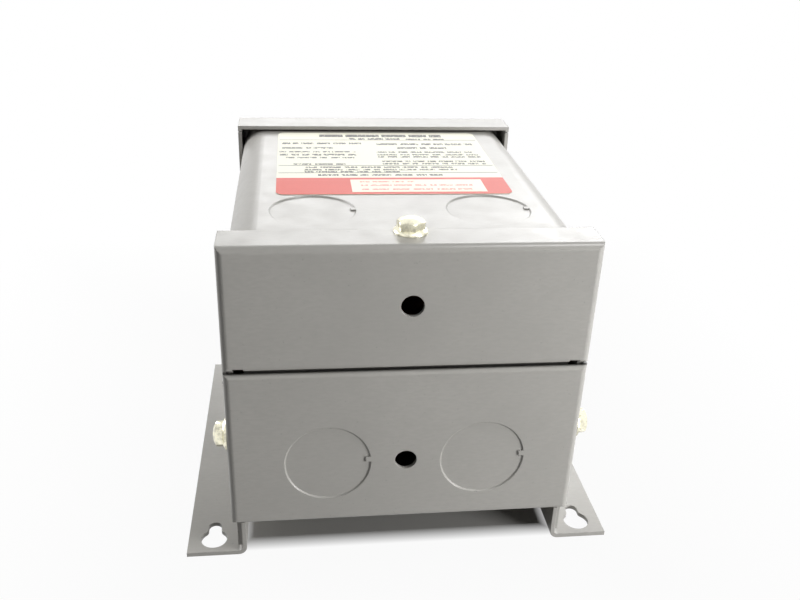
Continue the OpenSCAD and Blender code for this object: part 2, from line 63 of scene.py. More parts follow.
# Vertices this close to a washer's widest radius are on its rim
AT_RIM = 1e-4


def srgb(code):
    """Linear colour with full alpha from a hex code such as 8f8f8a."""
    parts = [int(code[i:i + 2], 16) / 255 for i in (0, 2, 4)]
    return [p / 12.92 if p <= 0.04045 else ((p + 0.055) / 1.055) ** 2.4 for p in parts] + [1.0]


def colour_choice(name, description, code):
    """Property that holds one linear colour."""
    return FloatVectorProperty(
        name=name, description=description, subtype="COLOR", size=4, min=0.0, max=1.0,
        default=srgb(code))


def length_choice(name, description, millimetres):
    """Property that holds one length."""
    return FloatProperty(
        name=name, description=description, unit="LENGTH", subtype="DISTANCE", precision=5,
        default=millimetres * MM)


class TransformerEnamel(bpy.types.PropertyGroup):
    """Finish of the case"""
    paint: colour_choice("Paint", "Colour of the baked enamel on the case", "b1afaa")
    peel: length_choice("Orange peel", "Width of one ripple in the enamel", 1.6)
    edge: length_choice("Edge", "Radius to which the enamel rounds a cut edge", 0.4)


class TransformerLabel(bpy.types.PropertyGroup):
    """Colours and print of the label"""
    paper: colour_choice("Paper", "Colour of the label's unprinted stock", "f3f1de")
    band: colour_choice("Band", "Colour of the wide field at the label's near edge", "d6584c")
    ink: colour_choice("Ink", "Colour of the rules and the rows of marks", "2a2926")
    band_depth: length_choice("Band depth", "Depth of the coloured field", 18.3)
    corner: length_choice("Corner", "Radius of the label's corners", 3)
    rule_width: length_choice("Rule width", "Width of the ruled lines", 0.45)
    film: length_choice("Film", "Height of one layer of print", 0.03)


class TransformerScrews(bpy.types.PropertyGroup):
    """Plating and thread of the case screws"""
    plating: colour_choice("Plating", "Colour of the pale yellow zinc plating", "faf6de")
    pitch: length_choice("Pitch", "Rise of the thread in one turn", 1.06)
    depth: length_choice("Thread depth", "Depth of the thread under its crest", 0.45)


class TransformerLeads(bpy.types.PropertyGroup):
    """Colours and bare ends of the leads"""
    mains: colour_choice("Mains leads", "Colour of the mains leads' insulation", "262628")
    low_voltage: colour_choice(
        "Low-voltage leads", "Colour of the other leads' insulation", "c9c4b6")
    copper: colour_choice("Copper", "Colour of the bare strands", "d8956a")
    strands: IntProperty(
        name="Strands", description="Number of strands round the middle one",
        default=6, min=4, max=12)
    bare: length_choice("Bare end", "Length of wire that stands out of the insulation", 8)
    lay: length_choice("Lay", "Length in which a strand turns once round", 16)


class TransformerStage(bpy.types.PropertyGroup):
    """Floor, lens and lamps"""
    floor: colour_choice("Floor", "Colour of the floor", "b8b7b4")
    focal: length_choice("Focal length", "Focal length of the camera on a 36 mm sensor", 38.72)
    room: FloatProperty(
        name="Room light", description="Strength of the light that the room sends from all round",
        default=0.04, min=0.0)
    window: FloatProperty(
        name="Window", description="Power of the wide lamp behind the case on the right",
        unit="POWER", default=8.4, min=0.0)
    glare: FloatProperty(
        name="Glare", description="Power of the small lamp that brightens part of the wide one",
        unit="POWER", default=1.3, min=0.0)
    overhead: FloatProperty(
        name="Overhead", description="Power of the lamp above the case, a little to the right",
        unit="POWER", default=1.2, min=0.0)
    side: FloatProperty(
        name="Side", description="Power of the low lamp in front on the right",
        unit="POWER", default=2.6, min=0.0)
    left: FloatProperty(
        name="Left", description="Power of the lamp on the left",
        unit="POWER", default=1.9, min=0.0)


PROPERTY_GROUPS = [
    TransformerEnamel, TransformerLabel, TransformerScrews, TransformerLeads, TransformerStage]


# Node materials
# A Map Range node's inputs go by number: 0 is the value, 1 and 2 are the ends of its range, and
# 3 and 4 those of the range that it is mapped to, 0 and 1 unless they are given.

def add(tree, kind, inputs=(), **settings):
    """Adds a node, changes its settings, and fills its inputs or links them to other nodes."""
    made = tree.nodes.new(kind)
    for name, value in settings.items():
        setattr(made, name, value)
    for socket, value in dict(inputs).items():
        if isinstance(value, bpy.types.Node):
            value = next(out for out in value.outputs if out.enabled)
        if isinstance(value, bpy.types.NodeSocket):
            tree.links.new(value, made.inputs[socket])
        else:
            made.inputs[socket].default_value = value
    return made


def new_finish(name):
    """Material without a shader yet, its tree, and the node of a point's place in millimetres."""
    made = bpy.data.materials.new(name)
    made.use_nodes = True
    tree = made.node_tree
    tree.nodes.clear()
    place = add(tree, "ShaderNodeTexCoord").outputs["Object"]
    place_mm = add(
        tree, "ShaderNodeVectorMath", {"Vector": place, "Scale": 1 / MM}, operation="SCALE")
    return made, tree, place_mm


def shade(colour, factor):
    """Colour made darker or lighter by a factor."""
    return [min(1.0, part * factor) for part in colour[:3]] + [1.0]


def plate_joint():
    """Front, height and half the width of the joint between the two plates, in millimetres."""
    cover_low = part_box("wiring_cover")[0]
    plate_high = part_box("lower_end_plate")[1]
    middle = (cover_low[2] + plate_high[2]) / 2 / MM
    half_gap = (cover_low[2] - plate_high[2]) / 2 / MM
    return cover_low[1] / MM, middle, half_gap


def grey_enamel(settings):
    # Baked grey enamel on pressed sheet steel: satin, so lamps show as soft glows, with the
    # faint orange peel of sprayed paint, and now and then a nick in the paint along an edge.
    made, tree, place = new_finish("baked_grey_enamel")
    paint = list(settings.paint)
    # slow drift of the tone, in patches about 40 mm wide
    drift = add(tree, "ShaderNodeTexNoise", {"Vector": place, "Scale": 1 / 38, "Detail": 3})
    drift = add(tree, "ShaderNodeMapRange", {0: drift, 1: 0.35, 2: 0.65})
    even = add(
        tree, "ShaderNodeMix", {"Factor": drift, "A": shade(paint, 0.965), "B": shade(paint, 1.03)},
        data_type="RGBA")
    # fingermarks and dust, in patches about 7 mm wide
    handling = add(tree, "ShaderNodeTexNoise", {"Vector": place, "Scale": 1 / 7, "Detail": 4})
    dust = add(tree, "ShaderNodeMapRange", {0: handling, 1: 0.56, 2: 0.8, 4: 0.22})
    dusty = add(
        tree, "ShaderNodeMix", {"Factor": dust, "A": even, "B": shade(paint, 0.8)},
        data_type="RGBA")
    # faint streaks 0.8 mm high and three times as long, which lie level, as wiping leaves them
    wiped = add(tree, "ShaderNodeVectorMath", {0: place, 1: (0.3, 1, 1)}, operation="MULTIPLY")
    streak = add(tree, "ShaderNodeTexNoise", {"Vector": wiped, "Scale": 1 / 0.8, "Detail": 2})
    streak = add(tree, "ShaderNodeMapRange", {0: streak, 1: 0.35, 2: 0.65, 4: 0.45})
    streaked = add(
        tree, "ShaderNodeMix", {"Factor": streak, "A": dusty, "B": shade(paint, 0.9)},
        data_type="RGBA")
    # specks in the paint, drawn 0.9 mm wide so that they show
    speck = add(tree, "ShaderNodeTexNoise", {"Vector": place, "Scale": 1 / 0.9})
    speck = add(tree, "ShaderNodeMapRange", {0: speck, 1: 0.7, 2: 0.78, 4: 0.4})
    specked = add(
        tree, "ShaderNodeMix", {"Factor": speck, "A": streaked, "B": shade(paint, 0.5)},
        data_type="RGBA")
    # nicks where the surface turns over an edge
    rounded = add(tree, "ShaderNodeBevel", {"Radius": settings.edge}, samples=4)
    plain = add(tree, "ShaderNodeNewGeometry").outputs["Normal"]
    turn = add(tree, "ShaderNodeVectorMath", {0: rounded, 1: plain}, operation="DOT_PRODUCT")
    edge = add(tree, "ShaderNodeMapRange", {0: turn.outputs["Value"], 1: 0.9, 2: 0.99, 3: 1, 4: 0})
    patch = add(tree, "ShaderNodeTexNoise", {"Vector": place, "Scale": 1 / 2.4, "Detail": 3})
    patch = add(tree, "ShaderNodeMapRange", {0: patch, 1: 0.63, 2: 0.67})
    nick = add(tree, "ShaderNodeMath", {0: edge, 1: patch}, operation="MULTIPLY")
    worn = add(
        tree, "ShaderNodeMix", {"Factor": nick, "A": specked, "B": srgb("66645f")},
        data_type="RGBA")
    # painted shade in the joint between the two plates: the enamel there is made nearly black, and
    # the painted shade thins out 1.5 to 3.5 mm behind their front
    front, height, half_gap = plate_joint()
    point = add(tree, "ShaderNodeSeparateXYZ", {"Vector": place})
    rise = add(
        tree, "ShaderNodeMath", {0: point.outputs["Z"], 1: height}, operation="SUBTRACT")
    rise = add(tree, "ShaderNodeMath", {0: rise}, operation="ABSOLUTE")
    rise = add(
        tree, "ShaderNodeMapRange", {0: rise, 1: half_gap, 2: half_gap + 0.25, 3: 1, 4: 0})
    depth = add(
        tree, "ShaderNodeMapRange",
        {0: point.outputs["Y"], 1: front + 1.5, 2: front + 3.5, 3: 1, 4: 0})
    # where the painted shade of the joint lies
    painted_joint_shade = add(tree, "ShaderNodeMath", {0: rise, 1: depth}, operation="MULTIPLY")
    # the enamel with the joint's painted shade, at 6 per cent of the paint's colour
    enamel_with_joint_shade = add(
        tree, "ShaderNodeMix", {"Factor": painted_joint_shade, "A": worn, "B": shade(paint, 0.06)},
        data_type="RGBA")
    # dustier patches are less glossy
    gloss = add(tree, "ShaderNodeMapRange", {0: handling, 1: 0.3, 2: 0.8, 3: 0.29, 4: 0.4})
    peel = add(
        tree, "ShaderNodeTexNoise", {"Vector": place, "Scale": MM / settings.peel, "Detail": 1})
    relief = add(
        tree, "ShaderNodeBump",
        {"Height": peel, "Strength": 0.3, "Distance": 0.02 * MM, "Normal": rounded})
    shader = add(
        tree, "ShaderNodeBsdfPrincipled",
        {"Base Color": enamel_with_joint_shade, "Roughness": gloss, "Normal": relief})
    add(tree, "ShaderNodeOutputMaterial", {"Surface": shader})
    return made


def laminated(name, colour, roughness=0.45):
    """Printed paper under a clear laminate, in one colour of print or stock."""
    # The laminate lies in soft waves, and shows the paper's fibre a little.
    made, tree, place = new_finish(name)
    fibre = add(tree, "ShaderNodeTexNoise", {"Vector": place, "Scale": 1 / 0.5, "Detail": 3})
    fibre = add(tree, "ShaderNodeMapRange", {0: fibre, 1: 0.3, 2: 0.7})
    paper = add(
        tree, "ShaderNodeMix",
        {"Factor": fibre, "A": shade(colour, 0.97), "B": shade(colour, 1.03)}, data_type="RGBA")
    stain = add(tree, "ShaderNodeTexNoise", {"Vector": place, "Scale": 1 / 14, "Detail": 3})
    stain = add(tree, "ShaderNodeMapRange", {0: stain, 1: 0.5, 2: 0.8, 4: 0.2})
    aged = add(
        tree, "ShaderNodeMix", {"Factor": stain, "A": paper, "B": shade(colour, 0.9)},
        data_type="RGBA")
    wave = add(tree, "ShaderNodeTexNoise", {"Vector": place, "Scale": 1 / 9, "Detail": 1})
    relief = add(
        tree, "ShaderNodeBump", {"Height": wave, "Strength": 0.3, "Distance": 0.05 * MM})
    shader = add(
        tree, "ShaderNodeBsdfPrincipled",
        {"Base Color": aged, "Roughness": roughness, "Normal": relief})
    add(tree, "ShaderNodeOutputMaterial", {"Surface": shader})
    return made


def printed_marks(name, ink, paper, bare=0.4):
    """Print that can't be read, where a larger share of bare paper makes it paler."""
    # Ink in strokes about half a millimetre wide, with bare paper between them.
    made, tree, place = new_finish(name)
    strokes = add(
        tree, "ShaderNodeVectorMath", {0: place, 1: (1.7, 0.6, 0)}, operation="MULTIPLY")
    strokes = add(tree, "ShaderNodeTexNoise", {"Vector": strokes, "Scale": 1, "Detail": 1})
    strokes = add(tree, "ShaderNodeMapRange", {0: strokes, 1: bare, 2: bare + 0.06})
    tone = add(
        tree, "ShaderNodeMix", {"Factor": strokes, "A": paper, "B": ink}, data_type="RGBA")
    shader = add(tree, "ShaderNodeBsdfPrincipled", {"Base Color": tone, "Roughness": 0.45})
    add(tree, "ShaderNodeOutputMaterial", {"Surface": shader})
    return made


def zinc_plate(settings):
    # Steel with pale yellow zinc plating: a bright metal, a little cloudy and stained, whose
    # tint and gloss vary from patch to patch.
    plating = list(settings.plating)
    made, tree, place = new_finish("yellow_zinc_plate")
    patch = add(tree, "ShaderNodeTexNoise", {"Vector": place, "Scale": 1 / 1.6, "Detail": 3})
    spread = add(tree, "ShaderNodeMapRange", {0: patch, 1: 0.35, 2: 0.6})
    tint = add(
        tree, "ShaderNodeMix", {"Factor": spread, "A": shade(plating, 0.6), "B": plating},
        data_type="RGBA")
    gloss = add(tree, "ShaderNodeMapRange", {0: patch, 1: 0.3, 2: 0.7, 3: 0.42, 4: 0.22})
    grain = add(tree, "ShaderNodeTexNoise", {"Vector": place, "Scale": 1 / 0.35})
    relief = add(
        tree, "ShaderNodeBump", {"Height": grain, "Strength": 0.2, "Distance": 0.02 * MM})
    shader = add(
        tree, "ShaderNodeBsdfPrincipled",
        {"Base Color": tint, "Roughness": gloss, "Metallic": 1.0, "Normal": relief})
    add(tree, "ShaderNodeOutputMaterial", {"Surface": shader})
    return made


def grained(name, light, dark, grain_mm, roughness, relief_mm=0.02, metallic=0.0, across=(1, 1, 1)):
    """Finish of one substance whose grain runs between a light and a dark tone."""
    made, tree, place = new_finish(name)
    drawn = add(tree, "ShaderNodeVectorMath", {0: place, 1: across}, operation="MULTIPLY")
    grain = add(tree, "ShaderNodeTexNoise", {"Vector": drawn, "Scale": 1 / grain_mm, "Detail": 3})
    spread = add(tree, "ShaderNodeMapRange", {0: grain, 1: 0.3, 2: 0.7})
    tone = add(
        tree, "ShaderNodeMix", {"Factor": spread, "A": dark, "B": light}, data_type="RGBA")
    relief = add(
        tree, "ShaderNodeBump", {"Height": grain, "Strength": 0.4, "Distance": relief_mm * MM})
    shader = add(
        tree, "ShaderNodeBsdfPrincipled",
        {"Base Color": tone, "Roughness": roughness, "Metallic": metallic, "Normal": relief})
    add(tree, "ShaderNodeOutputMaterial", {"Surface": shader})
    return made


def lamination_steel():
    # Annealed silicon steel sheets: blue-black, each sheet's cut edge a fine line, here 1 mm wide
    # so that the lines show.
    return grained(
        "lamination_steel", srgb("5c6068"), srgb("32353b"), 1.0, 0.5, 0.05, 1.0, (0.05, 1, 0.05))


def magnet_wire():
    # Enamelled copper wire under varnish: reddish, glossy, in turns about 1 mm apart.
    return grained(
        "magnet_wire", srgb("c97b45"), srgb("7b3d1c"), 1.0, 0.25, 0.2, 1.0, (0.1, 0.1, 1))


def bobbin_nylon():
    # Glass-filled nylon, moulded: creamy and matt with a faint fibre grain.
    return grained("bobbin_nylon", srgb("e6e0cc"), srgb("d2cbb3"), 1.5, 0.55)


def insulation_paper():
    # Varnished insulating paper: amber, with a fine fibre.
    return grained("insulation_paper", srgb("cfae6c"), srgb("b08c4a"), 0.6, 0.5)


def coil_tape():
    # Polyester tape: yellow and glossy with small creases.
    return grained("coil_tape", srgb("e6cf52"), srgb("d0b53c"), 4.0, 0.3, 0.08)


def cast_fill():
    # Cast resin with sand: nearly black, rough, with pale grains.
    return grained("cast_fill", srgb("4b4843"), srgb("1f1d1b"), 0.7, 0.7, 0.1)


def fibre_board():
    # Vulcanised fibre board: a brownish red sheet, matt, faintly clouded where it was pressed.
    return grained(
        "fibre_board", srgb("9c6549"), srgb("8a553b"), 2.6, 0.6, 0.04, 0.0, (0.5, 1, 1))


def bushing_rubber():
    # Moulded rubber: black and matt with a dusty bloom.
    return grained("bushing_rubber", srgb("34332f"), srgb("1c1b1a"), 2.0, 0.6)


def green_lacquer():
    # Lacquered bonding screw: deep green and glossy.
    return grained("green_lacquer", srgb("2f8250"), srgb("1f6038"), 1.2, 0.3)


def lead_vinyl(name, colour):
    # Vinyl drawn over a wire: even and slightly glossy, with a waxy ripple 2 mm long.
    return grained(name, shade(colour, 1.06), shade(colour, 0.9), 2.2, 0.38, 0.03)


def bare_copper(colour):
    # Soft bare copper: warm, bright on the strands' crests and dull in between.
    return grained("bare_copper", shade(colour, 1.05), shade(colour, 0.75), 0.8, 0.3, 0.01, 1.0)


# Meshes

def once_each(things):
    """List of some vertices, edges or faces, each once and in the same order on every run."""
    return list(dict.fromkeys(things))


def keep_piece(name, shape, finish, body):
    """Turns a bmesh into a piece that rides on a body."""
    mesh = bpy.data.meshes.new(name)
    shape.to_mesh(mesh)
    shape.free()
    piece = bpy.data.objects.new(name, mesh)
    bpy.context.scene.collection.objects.link(piece)
    piece.data.materials.append(finish)
    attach(piece, body)
    return piece


def paint_node(name, finish):
    """Gives a CAD node another material."""
    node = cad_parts[name]
    if not node.material_slots:
        raise RuntimeError(f"CAD node {name} has no material slot to fill")
    for held in node.material_slots:
        held.material = finish


def flat_plate(shape, low, high, bottom, top, corner=0.0):
    """Adds a thin plate from corner low to corner high, with its near corners round if asked."""
    centre = Vector(((low[0] + high[0]) / 2, (low[1] + high[1]) / 2, bottom))
    size = Matrix.Diagonal((high[0] - low[0], high[1] - low[1], 1, 1))
    verts = bmesh.ops.create_grid(
        shape, x_segments=1, y_segments=1, size=0.5,
        matrix=Matrix.Translation(centre) @ size)["verts"]
    if corner:
        near = [v for v in verts if v.co.y < centre.y]
        verts = bmesh.ops.bevel(
            shape, geom=near, offset=corner, offset_type="OFFSET", affect="VERTICES",
            segments=8, profile=0.5, material=-1)["verts"]
    faces = once_each(f for v in verts for f in v.link_faces)
    raised = bmesh.ops.extrude_face_region(shape, geom=faces)
    lifted = [g for g in raised["geom"] if isinstance(g, bmesh.types.BMVert)]
    bmesh.ops.translate(shape, verts=lifted, vec=(0, 0, top - bottom))


def copy_of(name):
    """Merged copy of a CAD node's mesh."""
    shape = bmesh.new()
    shape.from_mesh(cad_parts[name].data)
    bmesh.ops.remove_doubles(shape, verts=shape.verts, dist=SAME_POINT)
    return shape


def islands(shape):
    """Lists of the vertices of each connected part of a bmesh."""
    visited = set()
    found = []
    for first in shape.verts:
        if first in visited:
            continue
        visited.add(first)
        group, waiting = [], [first]
        while waiting:
            vert = waiting.pop()
            group.append(vert)
            for link in vert.link_edges:
                other = link.other_vert(vert)
                if other not in visited:
                    visited.add(other)
                    waiting.append(other)
        found.append(group)
    return found


def cut_off(shape, verts, point, normal):
    """Removes what lies beyond a plane from some vertices' part, and closes the cut."""
    faces = once_each(f for v in verts for f in v.link_faces)
    edges = once_each(e for v in verts for e in v.link_edges)
    cut = bmesh.ops.bisect_plane(
        shape, geom=verts + edges + faces, plane_co=point, plane_no=normal, clear_outer=True)
    rim = [g for g in cut["geom_cut"] if isinstance(g, bmesh.types.BMEdge)]
    bmesh.ops.contextual_create(shape, geom=rim)


def off_axis(point, centre, axis):
    """Distance of a point from the line through a centre along a unit axis."""
    return (point - centre).cross(axis).length


def threaded_shank(shape, place, radius, length, settings):
    """Adds a screw's shank below the origin of a placing matrix: a core and a helical ridge."""
    root = radius - settings.depth
    taper = 0.85
    bmesh.ops.create_cone(
        shape, cap_ends=True, segments=32, radius1=root * taper, radius2=root, depth=length,
        matrix=place @ Matrix.Translation((0, 0, -length / 2)))
    # the ridge stays clear of the shank's ends, by this part of a pitch
    clear = 0.7
    steps = 20
    turns = length / settings.pitch - 2 * clear
    # its section is a triangle with its foot a little under the core's surface at the head
    foot = root - 0.15 * settings.depth
    half_foot = 0.42
    corners = [
        shape.verts.new(place @ Vector((x, 0, (z - clear) * settings.pitch)))
        for x, z in ((foot, -half_foot), (foot, half_foot), (radius, 0))]
    face = shape.faces.new(corners)
    axis = place.to_3x3() @ Vector((0, 0, 1))
    bmesh.ops.spin(
        shape, geom=[face] + list(face.edges) + corners, cent=place.translation, axis=axis,
        dvec=axis * (-settings.pitch / steps), angle=2 * math.pi * turns,
        steps=int(steps * turns), use_duplicate=False)


def twisted_strands(shape, middle, radius, settings):
    """Adds a middle strand and a ring of strands that turn round it, from a point upwards."""
    # a middle strand and six round it fill the lead's bore, drawn a little fat so that they touch
    thin = radius / 3
    fat = thin * 1.04
    rings = 10
    # length that stands inside the insulation
    hidden = 0.3 * MM
    places = [Vector()] + [
        Matrix.Rotation(2 * math.pi * i / settings.strands, 3, "Z") @ Vector((radius - thin, 0, 0))
        for i in range(settings.strands)]
    for place in places:
        verts = bmesh.ops.create_circle(
            shape, cap_ends=True, radius=fat, segments=10,
            matrix=Matrix.Translation(middle + place))["verts"]
        face = verts[0].link_faces[0]
        bmesh.ops.spin(
            shape, geom=[face] + list(face.edges) + verts, cent=middle, axis=(0, 0, 1),
            dvec=(0, 0, (settings.bare + hidden) / rings),
            angle=2 * math.pi * settings.bare / settings.lay, steps=rings, use_duplicate=False)


class TRANSFORMER_OT_enamel(bpy.types.Operator):
    """Enamels the case, the cover, the end plates and the mounting base"""
    bl_idname = "transformer.enamel"
    bl_label = "Enamel the case"

    def execute(self, context):
        finish = grey_enamel(context.scene.transformer_enamel)
        for name in ENAMELLED_NODES:
            paint_node(name, finish)
        return {"FINISHED"}


class TRANSFORMER_OT_inside(bpy.types.Operator):
    """Finishes the core, the windings, the fill and the barrier board"""
    bl_idname = "transformer.inside"
    bl_label = "Finish the inside"

    def execute(self, context):
        zinc = zinc_plate(context.scene.transformer_screws)
        wire = magnet_wire()
        steel = lamination_steel()
        finishes = {
            "core_e_stack": steel, "core_i_stack": steel, "core_bolts": zinc, "core_nuts": zinc,
            "coil_former": bobbin_nylon(), "secondary_coil_a": wire, "secondary_coil_b": wire,
            "winding_insulation": insulation_paper(), "primary_coil_a": wire,
            "primary_coil_b": wire, "coil_tape": coil_tape(), "potting_compound": cast_fill(),
            "barrier_board": fibre_board(), "lead_bushings": bushing_rubber(),
            "ground_screw": green_lacquer(), "ground_clip": zinc,
        }
        for name, finish in finishes.items():
            paint_node(name, finish)
        return {"FINISHED"}


class TRANSFORMER_OT_screws(bpy.types.Operator):
    """Plates the case screws and threads their shanks"""
    bl_idname = "transformer.screws"
    bl_label = "Thread the case screws"

    def execute(self, context):
        settings = context.scene.transformer_screws
        zinc = zinc_plate(settings)
        for name in ("cover_screw", "end_plate_screws"):
            shape = copy_of(name)
            for group in islands(shape):
                low = Vector([min(v.co[i] for v in group) for i in range(3)])
                high = Vector([max(v.co[i] for v in group) for i in range(3)])
                middle = (low + high) / 2
                # the head is above the shank, or outside it on either side of the case
                out = Vector((0, 0, 1))
                if name == "end_plate_screws":
                    out = Vector((math.copysign(1, middle.x), 0, 0))
                tip = min(v.co.dot(out) for v in group)
                radius = max(
                    off_axis(v.co, middle, out) for v in group if v.co.dot(out) < tip + AT_END)
                # the washer is the widest part, and its underside is the seat
                widest = max(off_axis(v.co, middle, out) for v in group)
                seat = min(
                    v.co.dot(out) for v in group if off_axis(v.co, middle, out) > widest - AT_RIM)
                under_head = middle + out * (seat - middle.dot(out))
                cut_off(shape, group, under_head, -out)
                turned = out.to_track_quat("Z", "Y").to_matrix().to_4x4()
                threaded_shank(
                    shape, Matrix.Translation(under_head) @ turned, radius, seat - tip, settings)
            bmesh.ops.recalc_face_normals(shape, faces=shape.faces)
            piece = keep_piece(name + "_threaded", shape, zinc, "case")
            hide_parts(name)
        return {"FINISHED"}


class TRANSFORMER_OT_leads(bpy.types.Operator):
    """Strips the leads in the wiring space, and gives them vinyl and copper strands"""
    bl_idname = "transformer.leads"
    bl_label = "Strip the leads"

    def execute(self, context):
        settings = context.scene.transformer_leads
        copper = bare_copper(list(settings.copper))
        colours = {"primary_leads": settings.mains, "secondary_leads": settings.low_voltage}
        ends = bmesh.new()
        for name, colour in colours.items():
            shape = copy_of(name)
            for group in islands(shape):
                tip = min(v.co.z for v in group)
                bottom = [v.co for v in group if v.co.z < tip + AT_END]
                middle = sum(bottom, Vector()) / len(bottom)
                radius = max((co - middle).length for co in bottom)
                cut_off(shape, group, (0, 0, tip + settings.bare), (0, 0, -1))
                twisted_strands(ends, middle, radius, settings)
            bmesh.ops.recalc_face_normals(shape, faces=shape.faces)
            finish = lead_vinyl("vinyl_of_" + name, list(colour))
            piece = keep_piece(name + "_insulation", shape, finish, "case")
            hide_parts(name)
        bmesh.ops.recalc_face_normals(ends, faces=ends.faces)
        keep_piece("lead_strands", ends, copper, "case")
        return {"FINISHED"}


# Rows of marks on the label: from x, to x, distance from the label's near edge, and height
HEADING_ROW_MM = (-25, 27.5, 75, 3.6)
MARK_ROWS_MM = [
    (-12.5, 9, 70.5, 2.4), (11.5, 28, 70, 1.8), (-40.5, -6, 63.5, 2.2), (-1.5, 39, 62.5, 2.4),
    (-40.5, -18, 57, 2.2), (6.5, 27.5, 57, 2.4), (-41.5, -11, 51.5, 1.6),
    (-41.5, -11, 47.5, 2.2), (-39, -12, 43.5, 1.6), (-2.5, 37, 51, 1.8), (-2.5, 39, 47.5, 1.8),
    (-2.5, 39, 44.5, 1.8), (-1.5, 39.5, 38.5, 1.8), (-1.5, 39.5, 35.5, 1.8),
    (-36, -16, 35, 1.6), (-31.5, 27, 31, 1.7), (-32, 26.5, 28, 1.7), (-32, 4, 25.5, 1.5),
    (-27, 22, 21.5, 1.8)]
# Rows on the pale panel in the coloured band
PANEL_ROWS_MM = [(-12, 8, 13.5, 1.5), (-12, 29, 9.5, 1.5), (-12, 29.5, 5, 1.5)]
# The panel's near left and far right corners: x, and distance from the label's near edge
PANEL_MM = [(-15.4, 2.3), (33.2, 16)]
# Distances of the ruled lines from the label's near edge, and the bare margin at their ends
RULES_MM = [68.5, 33, 24]
RULE_MARGIN_MM = 0.6
# Shortest and longest bar in the heading and in small print, and the gaps between bars
HEADING_BARS_MM = (6, 15)
SMALL_BARS_MM = (2.2, 8.5)
BAR_GAPS_MM = (0.8, 1.5)
# A row ends where less than this is left of it
LEAST_BAR_MM = 1.2
PRINT_SEED = 11


def row_of_marks(shape, row, near, bottom, top, chance, bars=SMALL_BARS_MM):
    """Adds one row of short bars of uneven length, which stand for a line of small print."""
    start, end, depth, height = (part * MM for part in row)
    x = start
    while x < end - LEAST_BAR_MM * MM:
        length = min(chance.uniform(*bars) * MM, end - x)
        flat_plate(
            shape, (x, near + depth - height / 2), (x + length, near + depth + height / 2),
            bottom, top)
        x += length + chance.uniform(*BAR_GAPS_MM) * MM


class TRANSFORMER_OT_label(bpy.types.Operator):
    """Prints the label: a coloured band with a pale panel, ruled lines and rows of plain marks"""
    bl_idname = "transformer.label"
    bl_label = "Print the label"

    def execute(self, context):
        label = context.scene.transformer_label
        low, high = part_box("nameplate")
        paper = laminated("laminated_label_paper", list(label.paper))
        paint_node("nameplate", paper)
        top = high.z + label.film
        chance = random.Random(PRINT_SEED)

        band = bmesh.new()
        flat_plate(
            band, (low.x, low.y), (high.x, low.y + label.band_depth), high.z, top, label.corner)
        band_ink = laminated("printed_red_band", list(label.band), 0.5)
        panel = bmesh.new()
        near_left, far_right = [(x * MM, low.y + depth * MM) for x, depth in PANEL_MM]
        flat_plate(panel, near_left, far_right, top, top + label.film)
        heading = bmesh.new()
        row_of_marks(heading, HEADING_ROW_MM, low.y, high.z, top, chance, HEADING_BARS_MM)
        marks = bmesh.new()
        for row in MARK_ROWS_MM:
            row_of_marks(marks, row, low.y, high.z, top, chance)
        rules = bmesh.new()
        margin = RULE_MARGIN_MM * MM
        for depth in RULES_MM:
            near = low.y + depth * MM
            flat_plate(
                rules, (low.x + margin, near), (high.x - margin, near + label.rule_width),
                high.z, top)
        faint = bmesh.new()
        for row in PANEL_ROWS_MM:
            row_of_marks(faint, row, low.y, top + label.film, top + 2 * label.film, chance)

        ink = printed_marks("printed_ink_marks", list(label.ink), list(label.paper))
        bold_ink = printed_marks(
            "printed_bold_marks", list(label.ink), list(label.paper), bare=0.33)
        rule_ink = laminated("printed_ink_rules", list(label.ink))
        pale_ink = printed_marks("printed_pale_marks", srgb("e29a8c"), list(label.paper))
        pieces = [
            ("label_band", band, band_ink), ("label_panel", panel, paper),
            ("label_heading", heading, bold_ink), ("label_marks", marks, ink),
            ("label_rules", rules, rule_ink), ("label_panel_marks", faint, pale_ink)]
        for name, shape, finish in pieces:
            bmesh.ops.recalc_face_normals(shape, faces=shape.faces)
            keep_piece(name, shape, finish, "case")
        return {"FINISHED"}


# Place and size of each lamp, and the setting that holds its power. All of them face AIM.
LAMPS = [
    ("window_lamp", (0.5, 1.0, 0.63), (1.6, 0.38), "window"),
    ("glare_lamp", (0.55, 1.0, 0.58), (0.4, 0.2), "glare"),
    ("overhead_lamp", (0.2, -0.15, 0.56), (0.16, 0.12), "overhead"),
    ("side_lamp", (0.42, -0.34, 0.08), (0.2, 0.2), "side"),
    ("left_lamp", (-0.42, 0.22, 0.3), (0.25, 0.25), "left"),
]
AIM = (0, 0, 0.07)
# Where the camera stands, its turns in degrees from looking straight down, and its sensor's width
STATION_MM = (-35.195, -310.248, 215.352)
HEADING = -7.53
TILT = 63.842
ROLL = 2.223
SENSOR_MM = 36
FLOOR_HALF_WIDTH = 6
# How far the floor is below the feet, so that the two don't lie in one plane
FLOOR_DROP_MM = 0.1
# How far inside the case's side walls and ends the floor under it begins
SHADE_INSET_MM = (1, 3)


def seen_directly(tree):
    """Adds the share of rays that show a surface itself: from the eye, a gloss or clear matter."""
    path = add(tree, "ShaderNodeLightPath")
    seen = add(
        tree, "ShaderNodeMath",
        {0: path.outputs["Is Camera Ray"], 1: path.outputs["Is Glossy Ray"]}, operation="MAXIMUM")
    return add(
        tree, "ShaderNodeMath", {0: seen, 1: path.outputs["Is Transmission Ray"]},
        operation="MAXIMUM")


def shaded_floor():
    """Half the width and half the length of the floor under the case, in millimetres."""
    low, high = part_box("body_wrap")
    return [high.x / MM - SHADE_INSET_MM[0], -low.y / MM - SHADE_INSET_MM[1], 0.0]


